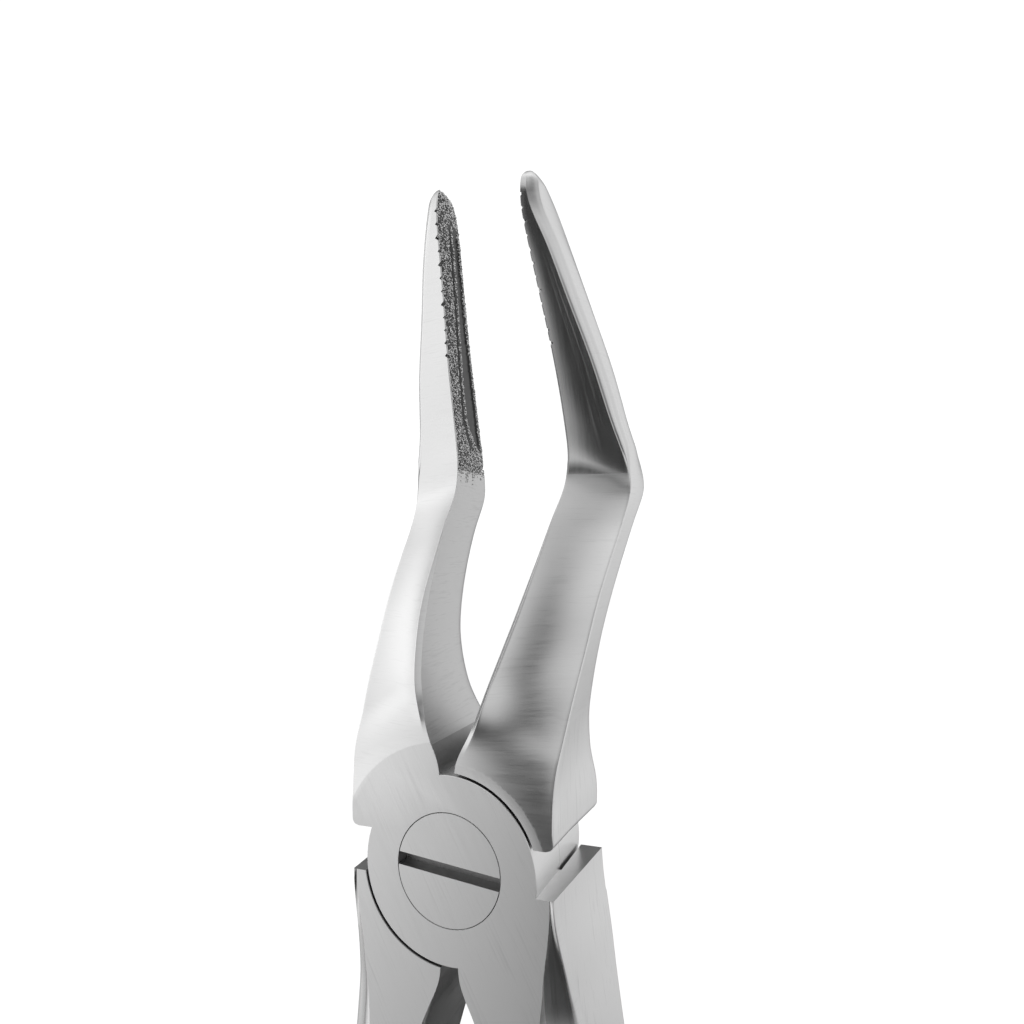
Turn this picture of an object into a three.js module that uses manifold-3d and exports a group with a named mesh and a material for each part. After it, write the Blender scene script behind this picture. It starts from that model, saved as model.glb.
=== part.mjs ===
// Extraction forceps with bayonet jaws: two forged halves crossing in a lap joint,
// a slotted pivot screw, and a bonded grit lining in each jaw.
//
// Millimetres. +Z runs up the forceps towards the jaw tips, +X is the side that the
// back half's jaw is on, and the screw head faces -Y. The origin is on the pivot
// axis, in the ground back face of the joint.

import * as THREE from 'three';
import { mergeVertices } from 'three/addons/utils/BufferGeometryUtils.js';
import Module from 'manifold-3d';

const wasm = await Module();
wasm.setup();

// ---------------------------------------------------------------- driving sizes

const JOINT_THICKNESS = 11.7;
const FRONT_Y = -JOINT_THICKNESS;
const LAP_Y = FRONT_Y / 2;
const DISC_RADIUS = 7.9;
const SEAM_GAP = 0.3;
const LAP_GAP = 0.1;

const SCREW_HEAD_RADIUS = 4.75;
const SCREW_HEAD_DEPTH = 3;
const SCREW_SHANK_RADIUS = 3.2;
const SLOT_WIDTH = 1.1;
const SLOT_DEPTH = 1.4;
const SLOT_TILT = THREE.MathUtils.degToRad(6);
const SCREW_GAP = 0.1;

const LINING_THICKNESS = 0.4;
const LINING_GAP = 0.3;
const LINING_MARGIN = 0.5;
const LINING_BOTTOM = 37;
const LINING_TOP = 59.5;

const ARC_SEGMENTS = 56;
const CORNER_STEPS = 2;
const CORNER_SHARE = 0.45;
const EDGE_STEPS = 2;

// Stations up a jaw on +X. inner is the x of the face that meets the tooth, front the
// y of its front edge, ridge and ridgeY the front outer edge, side the x of the back
// outer edge, back the y of the back, and hollow the depth of the front's concave flute.
const JAW = [
  { z: 2.7, inner: 0.67, front: -11.7, ridge: 8.5, ridgeY: -11.7, side: 9.2, back: 0, hollow: 0 },
  { z: 3.0, inner: 0.67, front: -11.7, ridge: 8.9, ridgeY: -11.7, side: 9.6, back: 0, hollow: 0 },
  { z: 3.6, inner: 0.67, front: -11.7, ridge: 9.2, ridgeY: -11.7, side: 9.9, back: 0, hollow: 0 },
  { z: 5.0, inner: 0.67, front: -11.7, ridge: 9.2, ridgeY: -11.7, side: 10.0, back: 0, hollow: 0 },
  { z: 8.5, inner: 0.67, front: -11.7, ridge: 9.5, ridgeY: -11.1, side: 9.3, back: 0, hollow: 0 },
  { z: 11.0, inner: 1.8, front: -11.7, ridge: 9.8, ridgeY: -9.7, side: 9.3, back: 0, hollow: 0.2 },
  { z: 14.5, inner: 3.0, front: -10.9, ridge: 10.2, ridgeY: -7.7, side: 9.8, back: 0, hollow: 0.4 },
  { z: 18.0, inner: 3.9, front: -9.1, ridge: 10.6, ridgeY: -5.3, side: 10.4, back: 0.6, hollow: 0.5 },
  { z: 22.0, inner: 4.7, front: -6.4, ridge: 11.0, ridgeY: -2.6, side: 11.0, back: 2.8, hollow: 0.5 },
  { z: 26.0, inner: 5.3, front: -3.1, ridge: 11.5, ridgeY: 0.8, side: 11.6, back: 5.8, hollow: 0.4 },
  { z: 30.0, inner: 5.8, front: 0.3, ridge: 12.0, ridgeY: 4.4, side: 12.2, back: 9.2, hollow: 0.3 },
  { z: 33.6, inner: 6.1, front: 3.4, ridge: 12.2, ridgeY: 6.6, side: 12.5, back: 11.6, hollow: 0.2 },
  { z: 36.0, inner: 6.2, front: 4.1, ridge: 11.6, ridgeY: 6.0, side: 12.0, back: 11.4, hollow: 0.3 },
  { z: 39.5, inner: 6.1, front: 3.3, ridge: 10.7, ridgeY: 4.3, side: 11.3, back: 10.1, hollow: 0.5 },
  { z: 45.0, inner: 5.8, front: 1.5, ridge: 9.6, ridgeY: 2.0, side: 10.4, back: 8.0, hollow: 0.5 },
  { z: 51.0, inner: 5.2, front: -0.6, ridge: 8.1, ridgeY: -0.7, side: 9.1, back: 5.2, hollow: 0.4 },
  { z: 56.0, inner: 4.7, front: -2.4, ridge: 6.7, ridgeY: -2.6, side: 7.8, back: 3.1, hollow: 0.3 },
  { z: 60.0, inner: 4.4, front: -3.6, ridge: 5.3, ridgeY: -3.8, side: 6.7, back: 1.6, hollow: 0.1 },
  { z: 61.8, inner: 4.4, front: -3.2, ridge: 5.0, ridgeY: -3.3, side: 5.9, back: 0.6, hollow: 0 },
  { z: 63.3, inner: 4.5, front: -1.9, ridge: 4.8, ridgeY: -1.9, side: 5.1, back: -0.6, hollow: 0 },
];
const JAW_RADII = [0.2, 0.5, 0.9, 0.3];
const JAW_BULGE = 0.3;

// Stations down a handle on +X. inner is the x of its palm side, outer and side the x
// of its outer edges at front and back, and front and back its depths. cut takes the
// outer front edge off, round softens the other edges and bulge crowns the outer face.
const HANDLE = [
  { z: -118.5, inner: 16.2, outer: 18.8, side: 18.8, front: -8.0, back: -3.7, cut: 0.2, round: 2.0, bulge: 0 },
  { z: -117.4, inner: 14.9, outer: 20.2, side: 20.2, front: -9.6, back: -2.1, cut: 0.9, round: 2.6, bulge: 0.1 },
  { z: -115.0, inner: 14.3, outer: 21.2, side: 21.2, front: -10.4, back: -1.3, cut: 1.2, round: 2.6, bulge: 0.2 },
  { z: -104.0, inner: 15.2, outer: 22.5, side: 22.5, front: -10.8, back: -0.9, cut: 1.4, round: 2.5, bulge: 0.3 },
  { z: -90.0, inner: 15.9, outer: 23.3, side: 23.3, front: -10.9, back: -0.8, cut: 1.5, round: 2.5, bulge: 0.3 },
  { z: -75.0, inner: 15.5, outer: 23.0, side: 23.0, front: -10.9, back: -0.8, cut: 1.6, round: 2.4, bulge: 0.3 },
  { z: -60.0, inner: 14.0, outer: 21.5, side: 21.5, front: -10.9, back: -0.8, cut: 1.8, round: 2.2, bulge: 0.3 },
  { z: -45.0, inner: 11.4, outer: 18.4, side: 18.6, front: -11.0, back: -0.7, cut: 2.1, round: 1.9, bulge: 0.2 },
  { z: -30.0, inner: 7.4, outer: 14.2, side: 15.0, front: -11.2, back: -0.5, cut: 2.6, round: 1.4, bulge: 0.1 },
  { z: -20.0, inner: 4.5, outer: 11.7, side: 12.7, front: -11.5, back: -0.2, cut: 2.9, round: 1.0, bulge: 0 },
  { z: -12.0, inner: 2.1, outer: 10.4, side: 11.4, front: -11.7, back: 0, cut: 2.6, round: 0.7, bulge: 0 },
  { z: -8.4, inner: 0.8, outer: 9.9, side: 10.9, front: -11.7, back: 0, cut: 1.9, round: 0.4, bulge: 0 },
  { z: -1.1, inner: 0.8, outer: 9.3, side: 10.1, front: -11.7, back: 0, cut: 0.2, round: 0.3, bulge: 0 },
];

// ---------------------------------------------------------------- shape helpers

// Slope at station i that keeps a curve through the stations from overshooting.
function slope(stations, key, i) {
  if (i === 0 || i === stations.length - 1) return 0;
  const [a, b, c] = [stations[i - 1], stations[i], stations[i + 1]];
  const below = (b[key] - a[key]) / (b.z - a.z);
  const above = (c[key] - b[key]) / (c.z - b.z);
  return below * above <= 0 ? 0 : (2 * below * above) / (below + above);
}

// Every size of a station list at one height, on a smooth curve through the list.
function stationAt(stations, z) {
  const last = stations.length - 2;
  const found = stations.findIndex((s, i) => i <= last && z <= stations[i + 1].z);
  const i = found < 0 ? last : found;
  const [a, b] = [stations[i], stations[i + 1]];
  const span = b.z - a.z;
  const t = (z - a.z) / span;
  const size = {};
  for (const key of Object.keys(a)) {
    const start = a[key] * (1 + 2 * t) * (1 - t) ** 2;
    const end = b[key] * t * t * (3 - 2 * t);
    const leave = slope(stations, key, i) * span * t * (1 - t) ** 2;
    const arrive = slope(stations, key, i + 1) * span * t * t * (t - 1);
    size[key] = start + end + leave + arrive;
  }
  size.z = z;
  return size;
}

// An outline through any number of corners, anticlockwise, each rounded by its own
// radius and each edge after it bulged by its own height.
function outline(corners, radii, bulges) {
  const count = corners.length;
  const edges = corners.map((corner, i) => corners[(i + 1) % count].clone().sub(corner));
  const round = corners.map((corner, i) => {
    const shorter = Math.min(edges[i].length(), edges[(i + count - 1) % count].length());
    return Math.min(radii[i], CORNER_SHARE * shorter);
  });
  return corners.flatMap((corner, i) => {
    const next = (i + 1) % count;
    const along = edges[i].clone().normalize();
    const arriving = edges[(i + count - 1) % count].clone().setLength(round[i]);
    const start = corner.clone().sub(arriving);
    const end = corner.clone().addScaledVector(along, round[i]);
    const edgeEnd = corners[next].clone().addScaledVector(along, -round[next]);
    const outward = new THREE.Vector2(along.y, -along.x);
    const points = new THREE.QuadraticBezierCurve(start, corner, end).getPoints(CORNER_STEPS);
    for (let k = 1; k < EDGE_STEPS; k += 1) {
      const u = k / EDGE_STEPS;
      const height = bulges[i] * 4 * u * (1 - u);
      points.push(end.clone().lerp(edgeEnd, u).addScaledVector(outward, height));
    }
    return points;
  });
}

// A closed solid through outlines that all have the same number of points.
function loft(sections, side) {
  const count = sections[0].points.length;
  const positions = [];
  for (const { z, points } of sections) {
    for (const point of points) positions.push(side * point.x, point.y, z);
  }
  const triangles = [];
  for (let row = 0; row < sections.length - 1; row += 1) {
    for (let i = 0; i < count; i += 1) {
      const a = row * count + i;
      const b = row * count + ((i + 1) % count);
      triangles.push([a, b, b + count], [a, b + count, a + count]);
    }
  }
  for (const [row, upward] of [[0, false], [sections.length - 1, true]]) {
    const { z, points } = sections[row];
    const middle = points.reduce((sum, p) => sum.add(p), new THREE.Vector2()).divideScalar(count);
    const hub = positions.length / 3;
    positions.push(side * middle.x, middle.y, z);
    for (let i = 0; i < count; i += 1) {
      const a = row * count + i;
      const b = row * count + ((i + 1) % count);
      triangles.push(upward ? [hub, a, b] : [hub, b, a]);
    }
  }
  const index = triangles.flatMap(([a, b, c]) => (side > 0 ? [a, b, c] : [a, c, b]));
  const geometry = new THREE.BufferGeometry();
  geometry.setAttribute('position', new THREE.Float32BufferAttribute(positions, 3));
  geometry.setIndex(index);
  return solid(geometry);
}

// A closed geometry as a solid that can be joined and cut.
function solid(geometry) {
  geometry.deleteAttribute('normal');
  geometry.deleteAttribute('uv');
  const merged = mergeVertices(geometry);
  return new wasm.Manifold(new wasm.Mesh({
    numProp: 3,
    vertProperties: merged.attributes.position.array,
    triVerts: new Uint32Array(merged.index.array),
  }));
}

// A finished solid as a named mesh in its own material.
function part(name, body, color, roughness) {
  const mesh = body.getMesh();
  const geometry = new THREE.BufferGeometry();
  geometry.setAttribute('position', new THREE.BufferAttribute(mesh.vertProperties, 3));
  geometry.setIndex(new THREE.BufferAttribute(mesh.triVerts, 1));
  geometry.computeVertexNormals();
  const material = new THREE.MeshStandardMaterial({ color, roughness, metalness: 1 });
  const named = new THREE.Mesh(geometry, material);
  named.name = name;
  return named;
}

// A round bar along the pivot axis between two depths.
function bar(radius, fromY, toY) {
  const geometry = new THREE.CylinderGeometry(radius, radius, toY - fromY, ARC_SEGMENTS);
  return solid(geometry.translate(0, (fromY + toY) / 2, 0));
}

// ---------------------------------------------------------------- jaw and handle

// Heights from the list's own stations, with one more between each two.
function heights(stations) {
  return stations.flatMap((s, i) => (i ? [(s.z + stations[i - 1].z) / 2, s.z] : [s.z]));
}

function jaw(side) {
  const sections = heights(JAW).map((z) => {
    const s = stationAt(JAW, z);
    const corners = [
      new THREE.Vector2(s.inner, s.front),
      new THREE.Vector2(s.ridge, s.ridgeY),
      new THREE.Vector2(s.side, s.back),
      new THREE.Vector2(s.inner, s.back),
    ];
    return { z, points: outline(corners, JAW_RADII, [-s.hollow, JAW_BULGE * s.hollow, 0, 0]) };
  });
  return loft(sections, side);
}

function handle(side) {
  const sections = heights(HANDLE).map((z) => {
    const s = stationAt(HANDLE, z);
    const corners = [
      new THREE.Vector2(s.inner, s.front),
      new THREE.Vector2(s.outer - s.cut, s.front),
      new THREE.Vector2(s.outer, s.front + s.cut),
      new THREE.Vector2(s.side, s.back),
      new THREE.Vector2(s.inner, s.back),
    ];
    const radii = [s.round, s.round / 2, s.round / 2, s.round, s.round];
    return { z, points: outline(corners, radii, [0, 0, s.bulge, 0, 0]) };
  });
  return loft(sections, side);
}

// A slab that follows a jaw's inner face: depth is how far its far side lies inside
// the face, rise how far its near side stands out of it.
function innerSlab(side, depth, rise, margin, bottom, top) {
  const steps = 8;
  const sections = [];
  for (let k = 0; k <= steps; k += 1) {
    const z = bottom + ((top - bottom) * k) / steps;
    const s = stationAt(JAW, z);
    sections.push({
      z,
      points: [
        new THREE.Vector2(s.inner - rise, s.front + margin),
        new THREE.Vector2(s.inner + depth, s.front + margin),
        new THREE.Vector2(s.inner + depth, s.back - margin),
        new THREE.Vector2(s.inner - rise, s.back - margin),
      ],
    });
  }
  return loft(sections, side);
}

function liningSeat(side) {
  const depth = LINING_THICKNESS + LINING_GAP;
  const margin = LINING_MARGIN - LINING_GAP;
  return innerSlab(side, depth, 1, margin, LINING_BOTTOM - LINING_GAP, LINING_TOP + LINING_GAP);
}

function lining(side) {
  return innerSlab(side, LINING_THICKNESS, 0, LINING_MARGIN, LINING_BOTTOM, LINING_TOP);
}

// ---------------------------------------------------------------- the pieces

// One half: its jaw on one side, its handle on the other, and between them a disc of
// half the joint's thickness. The mating disc's space is cut out of jaw and handle.
function forging(jawSide, discFrom, discTo, mateFrom, mateTo) {
  const disc = bar(DISC_RADIUS, discFrom, discTo);
  const mateSpace = bar(DISC_RADIUS + SEAM_GAP, mateFrom, mateTo);
  return jaw(jawSide).add(handle(-jawSide)).subtract(mateSpace).add(disc).subtract(liningSeat(jawSide));
}

function frontHalf() {
  const discBack = LAP_Y - LAP_GAP / 2;
  const body = forging(-1, FRONT_Y, discBack, discBack, 1);
  const seat = bar(SCREW_HEAD_RADIUS + SCREW_GAP, FRONT_Y - 1, FRONT_Y + SCREW_HEAD_DEPTH + SCREW_GAP);
  const hole = bar(SCREW_SHANK_RADIUS + SCREW_GAP, FRONT_Y - 1, 1);
  return body.subtract(seat).subtract(hole);
}

function backHalf() {
  const discFront = LAP_Y + LAP_GAP / 2;
  const body = forging(1, discFront, 0, FRONT_Y - 1, discFront);
  return body.subtract(bar(SCREW_SHANK_RADIUS + SCREW_GAP, FRONT_Y - 1, 1));
}

function pivotScrew() {
  const head = bar(SCREW_HEAD_RADIUS, FRONT_Y, FRONT_Y + SCREW_HEAD_DEPTH);
  const shank = bar(SCREW_SHANK_RADIUS, FRONT_Y + SCREW_HEAD_DEPTH / 2, 0);
  const slot = new THREE.BoxGeometry(3 * SCREW_HEAD_RADIUS, 2 * SLOT_DEPTH, SLOT_WIDTH);
  slot.rotateY(SLOT_TILT);
  slot.translate(0, FRONT_Y, 0);
  return head.add(shank).subtract(solid(slot));
}

const STEEL = 0xc9cacb;
const SCREW_STEEL = 0xb9babc;
const GRIT = 0x6d6e70;

const forceps = new THREE.Group();
forceps.add(part('front_half', frontHalf(), STEEL, 0.3));
forceps.add(part('back_half', backHalf(), STEEL, 0.3));
forceps.add(part('pivot_screw', pivotScrew(), SCREW_STEEL, 0.35));
forceps.add(part('grit_lining_left', lining(-1), GRIT, 0.75));
forceps.add(part('grit_lining_right', lining(1), GRIT, 0.75));

export default forceps;
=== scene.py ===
# %% [markdown]
# # Bayonet extraction forceps
#
# This notebook dresses the engineering model of a dental forceps: two steel forgings
# crossing on a slotted screw, with slender bayonet jaws that carry diamond grit. The
# engineering model fixes every size and place. Here each forging is made again with a
# fine surface, real edges and a ground, brushed or polished finish on each face.
#
# The frame: +Z runs up towards the jaw tips, the screw head faces -Y, and the origin
# is on the pivot axis in the back face of the joint. Lengths here are millimetres in
# the tables, and metres in Blender.

# %% Load the frame
import math

import bpy
import numpy as np
from mathutils import Matrix, Vector


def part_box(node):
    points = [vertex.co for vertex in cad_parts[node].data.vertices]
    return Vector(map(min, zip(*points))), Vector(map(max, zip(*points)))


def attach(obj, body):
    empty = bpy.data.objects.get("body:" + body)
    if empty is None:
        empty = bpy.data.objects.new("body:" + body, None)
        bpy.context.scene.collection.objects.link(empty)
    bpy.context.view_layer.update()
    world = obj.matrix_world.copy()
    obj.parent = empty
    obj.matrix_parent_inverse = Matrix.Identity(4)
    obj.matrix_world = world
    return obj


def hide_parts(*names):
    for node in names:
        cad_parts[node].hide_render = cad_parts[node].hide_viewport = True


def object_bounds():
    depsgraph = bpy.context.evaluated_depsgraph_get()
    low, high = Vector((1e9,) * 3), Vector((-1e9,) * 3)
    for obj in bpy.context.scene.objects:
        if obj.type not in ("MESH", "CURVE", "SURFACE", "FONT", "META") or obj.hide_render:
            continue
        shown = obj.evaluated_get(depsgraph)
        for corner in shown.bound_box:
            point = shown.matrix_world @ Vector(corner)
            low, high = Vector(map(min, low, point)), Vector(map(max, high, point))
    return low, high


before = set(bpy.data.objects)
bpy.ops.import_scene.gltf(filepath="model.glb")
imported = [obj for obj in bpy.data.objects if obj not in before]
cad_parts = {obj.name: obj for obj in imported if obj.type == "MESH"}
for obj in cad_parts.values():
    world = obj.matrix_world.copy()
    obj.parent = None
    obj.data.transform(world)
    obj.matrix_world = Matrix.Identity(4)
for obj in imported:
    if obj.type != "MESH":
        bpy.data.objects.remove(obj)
cad_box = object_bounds()
MM = 0.001

print("nodes:", sorted(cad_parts))
print("overall mm:", [round(1000 * (b - a), 1) for a, b in zip(*cad_box)])

# %% [markdown]
# ## Sizes from the frame
#
# The joint's faces, the screw's head and both ends of the tool are read from the frame,
# so that the fine pieces can't drift away from the engineering ones. The other sizes of
# the joint are a toolmaker's: the disc, the seam round it and the screw's shank.

# %% Read the driving sizes
screw_low, screw_high = (np.array(corner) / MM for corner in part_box("pivot_screw"))
FRONT_Y = screw_low[1]
BACK_Y = screw_high[1]
LAP_Y = (FRONT_Y + BACK_Y) / 2
HEAD_RADIUS = (screw_high[0] - screw_low[0]) / 2
TIP_Z = cad_box[1][2] / MM
END_Z = cad_box[0][2] / MM

DISC_RADIUS = 7.9
SEAM = 0.22
LAP_GAP = 0.05
SHANK_RADIUS = 3.2
HEAD_DEPTH = 3.0

print(f"joint {BACK_Y - FRONT_Y:.1f} mm thick, screw head {2 * HEAD_RADIUS:.1f} mm across")

# %% [markdown]
# ## The camera
#
# The tool is small and the camera stands close to it, so the view has a strong
# perspective: the lens is wide.

# %% Camera
CAMERA_AT = (29.5, -69.1, 27.4)
CAMERA_TURN = (92.3, 1.0, 22.0)
LENS = 26.5

camera_data = bpy.data.cameras.new("camera")
camera_data.lens = LENS
camera_data.sensor_width = 36
camera_data.clip_start = 0.005
camera = bpy.data.objects.new("camera", camera_data)
camera.location = Vector(CAMERA_AT) * MM
camera.rotation_euler = [math.radians(a) for a in CAMERA_TURN]
bpy.context.scene.collection.objects.link(camera)
bpy.context.scene.camera = camera
bpy.context.scene.view_settings.view_transform = "Standard"
print("camera", CAMERA_AT)


# %% [markdown]
# ## Small helpers for node trees
#
# Materials and geometry trees are wired in code. One helper adds a node, sets its
# inputs and links the sockets given to it, which keeps each tree readable.

# %% Node helper
def add(tree, kind, inputs=None, **settings):
    """Adds a node, sets its properties, then sets or links its inputs."""
    node = tree.nodes.new(kind)
    for name, value in settings.items():
        setattr(node, name, value)
    for key, value in (inputs or {}).items():
        socket = node.inputs[key]
        if isinstance(value, bpy.types.NodeSocket):
            tree.links.new(value, socket)
        else:
            socket.default_value = value
    return node


def math_node(tree, operation, a, b=0.0):
    """One sum on two values or sockets."""
    return add(tree, "ShaderNodeMath", {0: a, 1: b}, operation=operation).outputs[0]


def ramp(tree, value, stops):
    """A colour ramp in greys: stops are (position, grey)."""
    node = add(tree, "ShaderNodeValToRGB", {"Fac": value})
    elements = node.color_ramp.elements
    while len(elements) < len(stops):
        elements.new(0.5)
    for element, (position, grey) in zip(elements, stops):
        element.position = position
        element.color = (grey, grey, grey, 1)
    return node.outputs["Color"]


print("node helpers ready")

# %% [markdown]
# ## The light tent
#
# Small steel tools are shot in a white tent, because steel shows little but the
# reflection of its room. A tent could be built from bright planes round the tool. Here
# it is a world shader, which casts no shadows and can't be met by a turned handle: an
# even wall with soft ovals of light and dark on it. It is bright to the left, dark where
# the camera and the person behind it stand, dark along a curved flag from there to the
# upper right, and dark below the table edge. Those ovals draw the bands in the hollows
# of the jaws and on the handles' facets.


# %% World
def light_patch(tree, way, azimuth, elevation, half_width, half_height, soft, amount):
    """A soft oval of light, or of dark where amount is below 0, in the tent's wall.
    Azimuth 0 is -Y, where the screw head faces, and 90 is +X."""
    x, y, z = way
    across = math_node(tree, "MULTIPLY", math_node(tree, "ARCTAN2", x, y), 180 / math.pi)
    up = math_node(tree, "MULTIPLY", math_node(tree, "ARCSINE", z), 180 / math.pi)
    turn = math_node(tree, "SUBTRACT", across, azimuth)
    near = math_node(tree, "WRAP", turn, 180)
    near.node.inputs[2].default_value = -180
    a = math_node(tree, "DIVIDE", near, half_width)
    b = math_node(tree, "DIVIDE", math_node(tree, "SUBTRACT", up, elevation), half_height)
    across_squared = math_node(tree, "MULTIPLY", a, a)
    up_squared = math_node(tree, "MULTIPLY", b, b)
    squares = math_node(tree, "ADD", across_squared, up_squared)
    fade = add(
        tree,
        "ShaderNodeMapRange",
        {"Value": math_node(tree, "SQRT", squares), "From Min": 1 + soft, "From Max": 1 - soft},
        interpolation_type="SMOOTHSTEP",
    ).outputs["Result"]
    return math_node(tree, "MULTIPLY", fade, amount)


# Each patch is a name, azimuth, elevation, half width, half height, softness, amount.
TENT_LEVEL = 0.78
TENT_FLOOR = 0.04
SWEEP_LEVEL = 1.1
TENT_PATCHES = [
    ("left softbox", -82, 0, 46, 44, 0.35, 0.28),
    ("camera zone", 1, -9, 18.5, 46, 0.3, -0.74),
    ("below left of the camera", -12, -34, 8, 14, 0.5, -0.40),
    ("tail of the camera zone", 22, -24, 12, 26, 0.9, -0.36),
    ("low front", -30, -38, 26, 12, 0.5, -0.22),
    ("left shoulder", -38, -12, 14, 16, 0.6, 0.22),
    ("left floor edge", -112, -34, 26, 14, 0.5, -0.40),
    ("top edge of the camera zone", 10, 31, 24, 8, 0.5, -0.34),
    ("low arm of the flag", 26, 26, 17, 14, 0.5, -0.45),
    ("middle arm of the flag", 54, 37, 19, 15, 0.6, -0.66),
    ("high arm of the flag", 72, 57, 18, 13, 0.7, -0.36),
    ("under the table edge", 92, -60, 100, 33, 0.4, -0.80),
    ("right rear wall", 132, 10, 26, 40, 0.6, 0.10),
    ("left rear flag", -154, 5, 34, 60, 0.35, -0.66),
    ("under the table, behind", -168, -46, 44, 14, 0.4, -0.60),
]


def tent_world():
    """The tent as reflections see it. The camera itself sees a plain white sweep."""
    world = bpy.data.worlds.new("light_tent")
    world.use_nodes = True
    tree = world.node_tree
    tree.nodes.clear()
    out = add(tree, "ShaderNodeOutputWorld")
    seen_way = add(tree, "ShaderNodeTexCoord").outputs["Generated"]
    parts = add(tree, "ShaderNodeSeparateXYZ", {0: seen_way})
    toward = math_node(tree, "MULTIPLY", parts.outputs["Y"], -1)
    way = (parts.outputs["X"], toward, parts.outputs["Z"])
    total = TENT_LEVEL
    for _, *shape in TENT_PATCHES:
        total = math_node(tree, "ADD", light_patch(tree, way, *shape), total)
    total = math_node(tree, "MAXIMUM", total, TENT_FLOOR)
    seen = add(tree, "ShaderNodeLightPath").outputs["Is Camera Ray"]
    tent = add(tree, "ShaderNodeBackground", {"Color": (1, 1, 1, 1), "Strength": total})
    sweep = add(tree, "ShaderNodeBackground", {"Color": (1, 1, 1, 1), "Strength": SWEEP_LEVEL})
    mix = add(tree, "ShaderNodeMixShader", {0: seen, 1: tent.outputs[0], 2: sweep.outputs[0]})
    tree.links.new(mix.outputs[0], out.inputs["Surface"])
    return world


bpy.context.scene.world = tent_world()
print("tent patches:", [name for name, *_ in TENT_PATCHES])

# %% [markdown]
# ## Softboxes
#
# The tent lights the tool evenly from all round. Two weak softboxes, one to the left and
# one above, add the small shadows and the direction that an even tent lacks.


# %% Softboxes
def softbox(name, at, size, power):
    """A square area light at a place in mm, turned to the middle of the jaws."""
    data = bpy.data.lights.new(name, "AREA")
    data.size = size * MM
    data.energy = power
    light = bpy.data.objects.new(name, data)
    light.location = Vector(at) * MM
    aim = Vector((0, 0, 20 * MM)) - light.location
    light.rotation_euler = aim.to_track_quat("-Z", "Y").to_euler()
    bpy.context.scene.collection.objects.link(light)


softbox("key_softbox", (-520, 60, 180), 260, 0.05)
softbox("top_softbox", (60, 60, 620), 300, 0.1)

# %% [markdown]
# ## The floor
#
# A plain pale floor, at the height of the handle ends. It is a large plane.


# %% Floor
def pale_floor():
    reach = 4.0
    mesh = bpy.data.meshes.new("floor")
    corners = [(-reach, -reach), (reach, -reach), (reach, reach), (-reach, reach)]
    mesh.from_pydata([(x, y, END_Z * MM) for x, y in corners], [], [(0, 1, 2, 3)])
    floor = bpy.data.objects.new("floor", mesh)
    bpy.context.scene.collection.objects.link(floor)
    material = bpy.data.materials.new("pale_floor")
    material.use_nodes = True
    shader = material.node_tree.nodes["Principled BSDF"]
    shader.inputs["Base Color"].default_value = (0.93, 0.93, 0.93, 1)
    shader.inputs["Roughness"].default_value = 0.7
    shader.inputs["Emission Color"].default_value = (1, 1, 1, 1)
    shader.inputs["Emission Strength"].default_value = 0.45
    mesh.materials.append(material)
    floor.visible_glossy = False


pale_floor()

# %% [markdown]
# ## Steel finishes
#
# One forging carries several finishes, each from its own step in the workshop: satin
# brushing across the necks, a flat grind on the joint, a wheel polish in the right jaw's
# flute and on the handles' facets, file lines along the handle sides. They share one
# steel and differ in roughness and in fine relief, so one function builds them all. The
# relief reads object coordinates, stretched along the direction in which that tool ran.
# The darker grey on cut walls is painted shade: it darkens the seams, bores, nicks, grooves and the
# screw's slot.


# %% Steel
def steel(name, grey, roughness, spread, strokes, depth, turn=(0, 0, 0), mottle=0.06):
    """A steel finish. strokes is the scale of the brush lines along X, Y and Z, in
    lines per mm, turn rotates them, depth is their height, spread is how far the
    roughness wanders and mottle how far the grey does."""
    material = bpy.data.materials.new(name)
    material.use_nodes = True
    tree = material.node_tree
    shader = tree.nodes["Principled BSDF"]
    shader.inputs["Metallic"].default_value = 1.0
    place = add(tree, "ShaderNodeTexCoord").outputs["Object"]
    turned = add(
        tree,
        "ShaderNodeMapping",
        {"Vector": place, "Rotation": [math.radians(a) for a in turn]},
    ).outputs[0]
    stretch = add(
        tree, "ShaderNodeMapping", {"Vector": turned, "Scale": [s / MM for s in strokes]}
    ).outputs[0]
    lines = add(
        tree, "ShaderNodeTexNoise", {"Vector": stretch, "Scale": 1.0, "Detail": 3.0, "Roughness": 0.6}
    ).outputs["Fac"]
    coarse = add(
        tree, "ShaderNodeTexNoise", {"Vector": stretch, "Scale": 0.31, "Detail": 1.0}
    ).outputs["Fac"]
    cloud = add(
        tree, "ShaderNodeTexNoise", {"Vector": place, "Scale": 0.22 / MM, "Detail": 4.0}
    ).outputs["Fac"]
    both = math_node(tree, "ADD", lines, math_node(tree, "MULTIPLY", coarse, 0.6))
    tone = math_node(tree, "ADD", both, math_node(tree, "MULTIPLY", cloud, 0.5))
    darkest, palest = grey * (1 - mottle), min(1.0, grey * (1 + mottle))
    greys = ramp(tree, tone, [(0.6, darkest), (1.0, palest)])
    tree.links.new(greys, shader.inputs["Base Color"])
    rough = add(
        tree,
        "ShaderNodeMapRange",
        {
            "Value": tone,
            "From Min": 0.6,
            "From Max": 1.4,
            "To Min": roughness - spread,
            "To Max": roughness + spread,
        },
    ).outputs["Result"]
    tree.links.new(rough, shader.inputs["Roughness"])
    bump = add(tree, "ShaderNodeBump", {"Height": both, "Strength": 1.0, "Distance": depth * MM})
    tree.links.new(bump.outputs["Normal"], shader.inputs["Normal"])
    return material


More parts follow.
